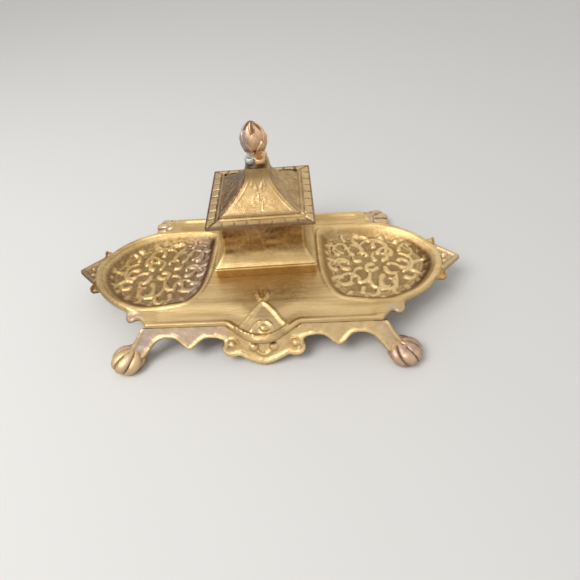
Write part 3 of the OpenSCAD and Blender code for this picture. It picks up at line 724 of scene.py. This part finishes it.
def make_apron(node, side):
    """One apron; side is -1 for the front and 1 for the rear."""
    bm = cut_sheet(apron_edge, apron_cell)
    thicken_sheet(bm, apron_face, apron_back)
    lean = math.atan2(apron_fall, apron_run)
    for v in bm.verts:
        x, s, out = v.co
        y = ridge_y + s * math.cos(lean) + out * math.sin(lean)
        z = deck - s * math.sin(lean) + out * math.cos(lean)
        inner = y < ridge_y + (tongue(x) if side < 0 else 0)
        if inner:
            z = min(z, deck - deck_wall)
        v.co = (x, side * y, z)
    # The tabs behind, which the screws go up through into the plate
    low_y, high_y = sorted((side * (ridge_y + 1.4), side * (ridge_y - 12)))
    tab_top = deck - deck_wall
    for x in (-tab_x, 0, tab_x):
        rounded_block(bm, (x - tab_half, low_y, tab_top - tab_wall), (x + tab_half, high_y, tab_top), 0.4)

    def wear(p):
        """Pale lip and balls, rosy grey to the left and on the legs, brown under the plate."""
        x, y, z = p.T
        flat = np.stack([x, np.hypot(side * y - ridge_y, deck - z)], 1)
        half = mirrored(flat)
        balls = ball(half, *pearl, 3, 1) + ball(half, *volute, 2, 1)
        lip = apron_lip(flat)
        grey = 0.2 + 0.55 * smooth((-x - 12) / 22) + 0.3 * smooth((np.abs(x) - tab_x) / 12)
        grey *= 1 - 0.6 * smooth((22 - np.abs(x)) / 5)
        hidden = smooth((ridge_y - 1 - side * y) / 2)
        lip = np.maximum(lip, np.clip(balls, 0, 1))
        return {"pink": grey * (1 - 0.8 * lip), "worn": 0.15 + 0.6 * lip,
                "brown": 0.05 * (1 - lip) + 0.5 * hidden}

    finish_piece(node + "_cast", bm, "stand", cast_brass, node, wear)


def make_foot(node, side_x, side_y):
    """One bud-shaped foot, its seven lobes drawn together at the leg; the right front one is coppery."""
    copper = side_x == 1 and side_y == -1
    mid = foot_height * 0.44
    sole = 0.12
    twist = {(-1, -1): 0.3, (1, -1): 0.95, (-1, 1): -0.3, (1, 1): -0.95}[side_x, side_y]

    def lobes(x, y, z):
        """Share of the full roundness: less in the grooves, which run together where the leg meets it."""
        lean = Vector((side_x * 0.62, side_y * 0.5, -0.6)).normalized()
        across = lean.orthogonal().normalized()
        beside = lean.cross(across)
        spot = np.stack([x, y, z - mid], 1)
        spot /= np.maximum(np.linalg.norm(spot, axis=1, keepdims=True), 1e-6)
        turn = np.arctan2(spot @ np.array(beside), spot @ np.array(across))
        clear = smooth(np.sqrt(np.clip(1 - (spot @ np.array(lean)) ** 2, 0, 1)) / 0.55)
        return 1 - clear * (1 - np.abs(np.cos(3.5 * (turn + twist))) ** 0.36)

    def form(u, v):
        """Place on the foot's skin, from the middle of its sole to its top."""
        z = foot_height * np.clip((v - sole) / (1 - sole), 0, 1)
        belly = np.where(z > mid, np.sqrt(np.clip(1 - ((z - mid) / (foot_height - mid)) ** 2, 0, 1)),
                         0.78 + 0.22 * np.sin(np.clip(z / mid, 0, 1) * math.pi / 2))
        radius = foot_r * belly * np.clip(v / sole, 0, 1)
        full = lobes(*turned(u, radius, z).T)
        return turned(u, radius * (0.8 + 0.2 * full), z * (0.9 + 0.1 * full))

    def wear(p):
        """Brown in the grooves and low down, pale on the lobes."""
        x, y = p[:, 0] - side_x * foot_x, p[:, 1] - side_y * foot_y
        full = lobes(x, y, p[:, 2])
        groove = 1 - smooth((full - 0.25) / 0.55)
        low = smooth((3 - p[:, 2]) / 3)
        cloud = smooth(0.5 + 0.5 * rough(p, 6, 5))
        return {"brown": 0.7 * groove + 0.5 * low + 0.25 * cloud * copper, "pink": 0.25 + 0.3 * cloud,
                "worn": smooth((full - 0.75) / 0.2) * 0.5}

    bm = wrapped(180, 70, form)
    bmesh.ops.translate(bm, vec=(side_x * foot_x, side_y * foot_y, 0), verts=bm.verts[:])
    material = coppery_brass if copper else cast_brass
    finish_piece(node + "_cast", bm, "stand", material, node, wear)


wall_leaves = [leaf(*row) for row in (
    (1, 27, 160, 9, -120, 1.2, 0.3), (2, 27, 20, 9, 120, 1.2, 0.3), (1, 24, 250, 6, 60, 1, 0.3),
    (2, 30, 70, 6, -60, 1, 0.3))]


def case_swell(x, y, z):
    """How far the case's walls stand out, slightly uneven with a faint worn spray, and the spray alone."""
    across = np.where(np.abs(x) > np.abs(y), y, x)
    wall = smooth((z - 16) / 4) * smooth((36.5 - z) / 2) * smooth((24 - np.abs(across)) / 3)
    spray = strokes(np.stack([across, z], 1), wall_leaves)
    return wall * (0.22 * rough(np.stack([x, y, z], 1), 14, 2) - 0.25 + spray), spray


def case_wear_and_shade(p):
    """Painted shade brown high on the walls under the eave and on the plinth, brown inside; a painted
    highlight pale on the cove above the plinth's edge; pale corners.
    """
    x, y, z = from_case(p)
    reach = np.maximum(np.abs(x), np.abs(y) + plinth_x - plinth_y)
    within = reach < plinth_x - cove_in - case_wall + 0.7
    streaks = 0.16 * rough(np.stack([x * 0.4, y * 0.4, z], 1), 5, 8)
    # Painted shade: brown rising up the walls into the shade under the eave
    brown = np.where(z > 13, 0.44 * smooth((z - 13) / 4) + 0.2 + 0.12 * smooth((z - 20) / 12) + streaks, 0.2)
    # Painted shade on the plinth's face
    brown = np.where(z < 6.2, 0.5, brown)
    corner = smooth((np.abs(np.abs(x) - np.abs(y) - plinth_x + plinth_y) - 1.2) / 0.8)
    # Painted highlight: the cove's lower part paler, as if lit from above; it is added to the worn share
    cove = smooth((z - 7) / 1.5) * smooth((15 - z) / 4)
    brown = np.where(within, 0.7, brown * (0.35 + 0.65 * corner))
    spray = case_swell(x, y, z)[1]
    return {"brown": brown, "worn": 0.2 * cove + 0.6 * (1 - corner) + spray,
            "pink": 0.2 * smooth((z - 24) / 8), "rubbed": 0.8 * smooth((14 - z) / 3)}


def make_case():
    """The box: plinth, cove, walls and hollow, with its two hinge knuckles."""
    cove_foot = plinth_height + plinth_step
    hollow_in = cove_in + case_wall
    cove = [(0.24 + 0.2 * t, plinth_step + (cove_in - plinth_step) * t,
             cove_foot + cove_height * swell(t, cove_straight)) for t in np.linspace(0, 1, 12)]
    # Each station: share of the way over the skin, how far in from the plinth's side, and height
    stations = [(0, plinth_x, 0), (0.08, 0, 0), (0.1, 0, 0.6), (0.18, 0, plinth_height - 0.5),
                (0.2, 0.5, plinth_height), (0.22, plinth_step, plinth_height)] + cove + [
                (0.6, cove_in, case_height - 0.5), (0.61, cove_in + 0.5, case_height),
                (0.64, hollow_in - 0.5, case_height), (0.65, hollow_in, case_height - 0.5),
                (0.9, hollow_in, case_floor + 0.6), (0.92, hollow_in + 0.6, case_floor),
                (1, plinth_x, case_floor)]

    def form(u, v):
        """Place on the case's skin, from under the plinth over the rim to the floor inside."""
        inset, z = along(v, stations)
        half_x = np.maximum(plinth_x - inset, 0)
        half_y = np.where(half_x > 0, np.maximum(plinth_y - inset, 0), 0)
        x, y = ring(u, half_x, half_y, cast_corner)
        return np.stack([x, y, z], 1)

    def walls(u, v, spot):
        """Relief on the outside only."""
        return case_swell(*spot.T)[0] * (v < 0.61)

    bm = wrapped(280, 170, raised(form, walls))
    for middle in (-knuckle_x, knuckle_x):
        bar(bm, knuckle_length, knuckle_r, (middle, pin_y, pin_z))
        low = (middle - 3.1, plinth_y - cove_in - 1, pin_z - 2)
        rounded_block(bm, low, (middle + 3.1, pin_y, pin_z + 2), 0.3)
    on_case(bm)
    finish_piece("ink_case_cast", bm, "stand", cast_brass, "ink_case", case_wear_and_shade)


side_leaves = [leaf(*row) for row in (
    (-9, 10.5, 60, 8, -150, 1, 0.8), (9, 10.5, 120, 8, 150, 1, 0.8), (-3, 14, 110, 7, -160, 1, 0.8),
    (3, 14, 70, 7, 160, 1, 0.8), (0, 9, 90, 5, 0, 1, 0.7), (-15, 9, 20, 6, 120, 0.9, 0.7),
    (15, 9, 160, 6, -120, 0.9, 0.7), (-2, 20, 100, 5, 80, 0.8, 0.7), (2, 20, 80, 5, -80, 0.8, 0.7))]
front_marks = [leaf(*row) for row in (
    (-4, 22, 50, 2.6, 90, 0.8, 0.6), (4, 22, 130, 2.6, -90, 0.8, 0.6), (-1, 20.5, 110, 3, 0, 0.7, 0.6),
    (1.5, 21, 60, 2.4, 0, 0.7, 0.5), (0, 16, 90, 3, 0, 0.6, 0.5), (2, 11, 85, 4, 0, 0.5, 0.4))]


def lid_relief(x, y):
    """The roof's border of blocks, panel lines and leaves, all but worn away in front.

    Gives their height, how far in from the eave a place lies, and if it is on the front or on a side."""
    beside = np.abs(x) > np.abs(y)
    ahead = ~beside & (y < 0)
    half = np.maximum(np.abs(x), np.abs(y) * lid_x / lid_y)
    across = np.where(beside, y, x)
    inset = lid_x - half
    hip = half - np.abs(across)
    count = across / block_pitch
    beat = np.abs(count - np.floor(count) - 0.5)
    blocks = smooth((0.45 - beat) / 0.07) * smooth((inset - 0.7) / 0.5)
    blocks = blocks * smooth((5.6 - inset) / 0.5) * smooth((hip - 1) / 0.6)
    lines = dome(np.abs(inset - 6.8), 0.8) * (hip > 2) + 0.7 * dome(np.abs(hip - 3.4), 0.7) * (inset > 7)
    lines += 0.6 * dome(np.abs(inset - 8.8), 0.5) * (hip > 4)
    spot = np.stack([across, inset], 1)
    spray = strokes(spot, side_leaves) * smooth(hip - 4)
    spray += ahead * 9 * strokes(spot, front_marks)
    height = np.where(ahead, 0.33, 0.9) * (0.75 * blocks + 0.5 * lines) + np.where(ahead, 0.08, 0.6) * spray
    return height, inset, ahead, beside


def lid_wear_and_shade(p):
    """Painted shade by the way each roof face faces: the front palest and rubbed, darker toward its top, the
    left one dark, right and back in between; the eave's edge brown.
    """
    x, y, z = from_case(p)
    relief, inset, ahead, beside = lid_relief(x, y)
    eave = smooth((case_height + eave_wall - 0.35 - z) / 0.3)
    foot = smooth((9 - inset) / 6)
    clouds = 0.13 * rough(p, 9, 4)
    top = smooth((z - case_height - eave_wall - 14) / 7)
    # Painted shade: each face of the roof its own depth of brown, darkest on the left, palest in front
    brown = np.where(ahead, 0.28 + 0.02 * foot + 0.25 * top + clouds, np.where(x < 0, 0.85, 0.44) + clouds)
    brown = np.where(~ahead & ~beside, 0.45 + clouds, brown)
    high = np.clip(relief * np.where(ahead, 2.2, 1.2), 0, 1) * np.where(inset > 8, 0.55, 0.85)
    brown = np.maximum(brown * (1 - 0.85 * high), 0.68 * eave)
    pink = np.where(beside & (x < 0), 0.42, 0.15) * (1 - 0.6 * high) + 0.25 * eave
    return {"brown": brown, "worn": 0.75 * high, "pink": pink, "rubbed": np.where(ahead, 0.5, 0)}


def make_lid():
    """The pagoda roof with its eave, hollow inside, and its middle knuckle."""
    foot = case_height + eave_wall
    flat = roof_flat / 2
    hollow = plinth_x - cove_in - case_wall + 0.6
    roof_foot = lid_x - eave_in
    ceiling = case_height + 1.4
    ceiling_rise = roof_top - crown_wall - ceiling
    bore = stud_r + 0.2
    ways = np.linspace(0, 1, 24)
    roof = [(0.12 + 0.4 * t, roof_foot - (roof_foot - flat) * t, foot + roof_height * swell(t, roof_straight))
            for t in ways]
    inner = [(0.88 - 0.2 * t, hollow - (hollow - flat + roof_wall) * t,
              ceiling + ceiling_rise * swell(t, roof_straight)) for t in ways[::-1]]
    # Each station: share of the way over the skin, half the width, and height
    stations = [(0, hollow, case_height), (0.03, lid_x - 0.4, case_height), (0.04, lid_x, case_height + 0.4),
                (0.08, lid_x, foot - 0.6)] + roof + [(0.57, bore, roof_top),
                (0.61, bore, roof_top - crown_wall)] + inner + [(1, hollow, case_height)]

    def form(u, v):
        """Place on the lid's skin, from under the eave over the roof and down the stud's hole inside."""
        half, z = along(v, stations)
        # A corner wider than the hole makes the hole round
        corner = np.interp(v, (0.52, 0.57, 0.61, 0.68), (cast_corner, 3, 3, cast_corner))
        half_y = np.where(half > hollow, half - (lid_x - lid_y) * (half - flat) / (lid_x - flat), half)
        # The roof swells at its middle, and more so on the left
        fuller = 1.3 * np.sin(math.pi * np.clip((v - 0.12) / 0.4, 0, 1) ** 1.4)
        x, y = ring(u, half + fuller, half_y + fuller, corner)
        x = x - 1.3 * fuller * smooth(-x / 5)
        return np.stack([x, y, z], 1)

    def ornament(u, v, spot):
        """Relief on the outside only."""
        relief, inset = lid_relief(spot[:, 0], spot[:, 1])[:2]
        uneven = 0.15 * rough(spot, 11, 6) * smooth((inset - 1) / 3)
        return (relief - 0.75 * smooth(inset / 1.5) + uneven) * (v > 0.08) * smooth((0.52 - v) / 0.03)

    bm = wrapped(400, 200, raised(form, ornament))
    bar(bm, 2 * knuckle_length, knuckle_r, (0, pin_y, pin_z))
    rounded_block(bm, (-6.6, pin_y - 1.4, pin_z + 0.4), (6.6, pin_y + 2, case_height + 0.3), 0.3)
    on_case(bm)
    finish_piece("lid_cast", bm, "lid", cast_brass, "lid", lid_wear_and_shade)


def make_neck():
    """The collar under the bud: worn lumps between two narrow rings."""
    stations = [(0, 0, 0), (0.1, neck_r - 0.6, 0), (0.2, neck_r - 0.4, 0.9), (0.36, neck_r - 1.9, 1.5),
                (0.45, neck_r - 0.9, 2.4), (0.58, neck_r - 0.5, 3.6), (0.7, neck_r - 1.1, 4.9),
                (0.82, 3.9, 5.9), (0.9, 4.3, neck_height), (1, 0, neck_height)]

    def form(u, v):
        """Place on the collar's skin, from the roof up to the bud."""
        radius, z = along(v, stations)
        lumpy = smooth((v - 0.34) / 0.1) * smooth((0.78 - v) / 0.1)
        knobs = np.abs(np.sin(4 * math.pi * u + 0.4)) ** 0.7 * lumpy
        return turned(u, radius * (1 - 0.26 * lumpy) + 2.9 * knobs, roof_top + z)

    def wear(p):
        """Verdigris on the left and in front, pale on the right, brown in the lower groove."""
        x, y, z = from_case(p)
        left = smooth((1.2 - x + 1.2 * rough(p, 5, 9)) / 2.5) * smooth((2.5 - y) / 3)
        low = smooth((roof_top + 1.9 - z) / 0.6)
        return {"pink": 0.95 * left, "brown": 0.7 * low, "worn": 0.8 * (1 - left)}

    bm = wrapped(120, 60, form)
    on_case(bm)
    finish_piece("finial_neck_cast", bm, "lid", stained_brass, "finial_neck", wear)


def petals(angle, share):
    """How proud the bud's overlapping petals stand: 0 between them, a little over 1 on their ribs."""
    proud = np.zeros(len(share))
    for row, (start, size) in enumerate([(0.0, 0.5), (0.22, 0.55), (0.42, 0.58)]):
        t = np.clip((share - start) / size, 0, 1)
        beside = np.abs(((angle / (2 * math.pi) * 5 + 0.5 * row + 0.2) % 1) - 0.5) * 2
        room = np.clip(1 - t ** 1.6, 0, 1) * 1.15
        body = smooth((room - beside) / 0.18) * (0.35 + 0.65 * t) * (t > 0) * (t < 1)
        rib = 0.18 * dome(beside, 0.22) * body
        proud = np.maximum(proud, body + rib)
    return proud


def make_bud():
    """The bud: three rows of pointed petals over a beaded cup, leaning a little to the left."""
    cup = 0.08

    def form(u, v):
        """Place on the bud's skin, from under its cup to its tip."""
        angle = 2 * math.pi * u
        share = np.clip((v - cup) / (1 - cup), 0, 1)
        low = 0.64 + 0.36 * np.sin(math.pi / 2 * np.clip(share / 0.3, 0, 1))
        high = np.cos(math.pi / 2 * np.clip((share - 0.42) / 0.58, 0, 1)) ** 0.8
        beads = np.abs(np.sin(5 * angle)) * smooth((share - 0.02) / 0.03) * smooth((0.13 - share) / 0.03)
        radius = (bud_r - 1.1) * np.where(share < 0.42, low, high) + 0.5 * beads
        radius += 1.7 * petals(angle, share) * np.minimum(high, 1)
        radius = radius * np.clip(v / cup, 0, 1) * np.where(share > 0.97, (1 - share) / 0.03, 1)
        spot = turned(u, radius, roof_top + neck_height + bud_height * share)
        spot[:, 0] -= 0.7 * share ** 2
        return spot

    def wear(p):
        """Brown between the petals, rosy grey on the left, pale on the right and on the cup."""
        x, y, z = from_case(p)
        share = (z - roof_top - neck_height) / bud_height
        proud = petals(np.arctan2(y, x) % (2 * math.pi), share)
        left = smooth((-x - 1 + rough(p, 4, 2)) / 3)
        low = smooth((0.22 - share) / 0.1)
        worn = 0.8 * smooth((proud - 0.6) / 0.3) * smooth((x + 3) / 4) + 0.3 * low + 0.3 * smooth(x / 4)
        return {"brown": 0.8 * smooth((0.55 - proud) / 0.4), "pink": 0.85 * left, "worn": worn}

    bm = wrapped(150, 130, form)
    on_case(bm)
    finish_piece("finial_bud_cast", bm, "lid", coppery_brass, "finial_bud", wear)


def make_pot():
    """The loose pot: straight sided, with a narrow mouth."""
    stations = [(0, 0, 0.8), (0.08, 16, 0.8), (0.1, pot_bore, 0), (0.16, pot_r - 1.5, 0), (0.19, pot_r, 1.5),
                (0.45, pot_r, pot_height - 1.4), (0.48, pot_r - 1.2, pot_height),
                (0.6, pot_mouth + 0.8, pot_height), (0.62, pot_mouth, pot_height - 0.8),
                (0.66, pot_mouth, 28), (0.72, pot_bore, 24), (0.9, pot_bore, 5), (0.93, 15, 3), (1, 0, 3)]

    def form(u, v):
        """Place on the pot's skin, from under its foot over the rim to its floor inside."""
        radius, z = along(v, stations)
        return turned(u, radius, case_floor + z)

    def wear(p):
        """Ink inside up to a wavering line, and a stained rim."""
        x, y, z = from_case(p)
        reach, rise = np.hypot(x, y), z - case_floor
        within = smooth((pot_bore + 0.6 - reach) / 0.3) * (rise > 1.5) * (rise < pot_height - 1.5)
        wet = smooth(12 + 0.8 * rough(p, 12, 1) - rise)
        rim = smooth((rise - pot_height + 0.4) / 0.3) * smooth((14.6 + 0.9 * rough(p, 7, 3) - reach) / 0.8)
        return {"inked": within * (0.3 + 0.65 * wet) + 0.7 * rim}

    bm = wrapped(96, 120, form)
    on_case(bm)
    finish_piece("ink_pot_glazed", bm, "ink_pot", porcelain, "ink_pot", wear)


make_plate()
make_apron("front_apron", -1)
make_apron("rear_apron", 1)
make_foot("front_left_foot", -1, -1)
make_foot("front_right_foot", 1, -1)
make_foot("rear_left_foot", -1, 1)
make_foot("rear_right_foot", 1, 1)
make_case()
make_lid()
make_neck()
make_bud()
make_pot()
# The small fixings keep their CAD shapes
for node in ("foot_screws", "apron_screws", "case_screws", "hinge_pin",
             "finial_stud", "finial_washer", "finial_nut"):
    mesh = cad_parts[node].data
    mesh.materials.clear()
    mesh.materials.append(turned_brass)


def make_camera():
    """The photograph's view: its place and turns were fitted to the plate, the case and the feet."""
    pitch, yaw, roll = 0.828254964, -0.0634473083, -0.0855210745
    ahead = Vector((math.sin(yaw) * math.cos(pitch), math.cos(yaw) * math.cos(pitch), -math.sin(pitch)))
    level = Vector((math.cos(yaw), -math.sin(yaw), 0))
    lift = level.cross(ahead)
    right = math.cos(roll) * level + math.sin(roll) * lift
    up = -math.sin(roll) * level + math.cos(roll) * lift
    camera = bpy.data.objects.new("photo_camera", bpy.data.cameras.new("photo_camera"))
    # 402 is the focal length in pixels, in a frame of 580
    camera.data.sensor_width = 36
    camera.data.lens = 36 * 402 / 580
    camera.data.clip_start = 0.01
    turn = Matrix((right, up, -ahead)).transposed().to_4x4()
    camera.matrix_world = Matrix.Translation((0.026662, -0.194030, 0.206278)) @ turn
    bpy.context.scene.collection.objects.link(camera)
    bpy.context.scene.camera = camera


def make_floor():
    """A plain pale floor."""
    mesh = bpy.data.meshes.new("floor")
    bm = bmesh.new()
    bmesh.ops.create_grid(bm, x_segments=1, y_segments=1, size=4)
    bm.to_mesh(mesh)
    bm.free()
    material = bpy.data.materials.new("pale_floor")
    material.use_nodes = True
    material.node_tree.nodes["Principled BSDF"].inputs["Base Color"].default_value = linear("E4E2DE")
    material.node_tree.nodes["Principled BSDF"].inputs["Roughness"].default_value = 0.8
    mesh.materials.append(material)
    floor = bpy.data.objects.new("floor", mesh)
    bpy.context.scene.collection.objects.link(floor)


def make_light(name, place, size, watts):
    """A soft square lamp that faces the stand."""
    lamp = bpy.data.objects.new(name, bpy.data.lights.new(name, "AREA"))
    lamp.data.size = size
    lamp.data.energy = watts
    lamp.location = place
    lamp.rotation_euler = (-Vector(place)).to_track_quat("-Z", "Y").to_euler()
    bpy.context.scene.collection.objects.link(lamp)


def make_world():
    """White to the camera and in the metal, and a softer grey as light."""
    world = bpy.data.worlds.new("studio")
    world.use_nodes = True
    tree = world.node_tree
    tree.nodes.clear()
    path = add(tree, "LightPath").outputs
    seen = add(tree, "Math", {0: path["Is Camera Ray"], 1: path["Is Glossy Ray"]}, operation="MAXIMUM")
    seen = add(tree, "Math", {0: seen, 1: path["Is Transmission Ray"]}, operation="MAXIMUM")
    level = add(tree, "MapRange", {"Value": seen, "To Min": 0.55, "To Max": 1})
    sky = add(tree, "Background", {"Color": (1, 1, 1, 1), "Strength": level})
    add(tree, "OutputWorld", {"Surface": sky})
    bpy.context.scene.world = world


make_camera()
make_floor()
make_light("key_lamp", (-0.45, -0.3, 0.8), 0.5, 5)
make_world()
bpy.context.scene.view_settings.view_transform = "Standard"
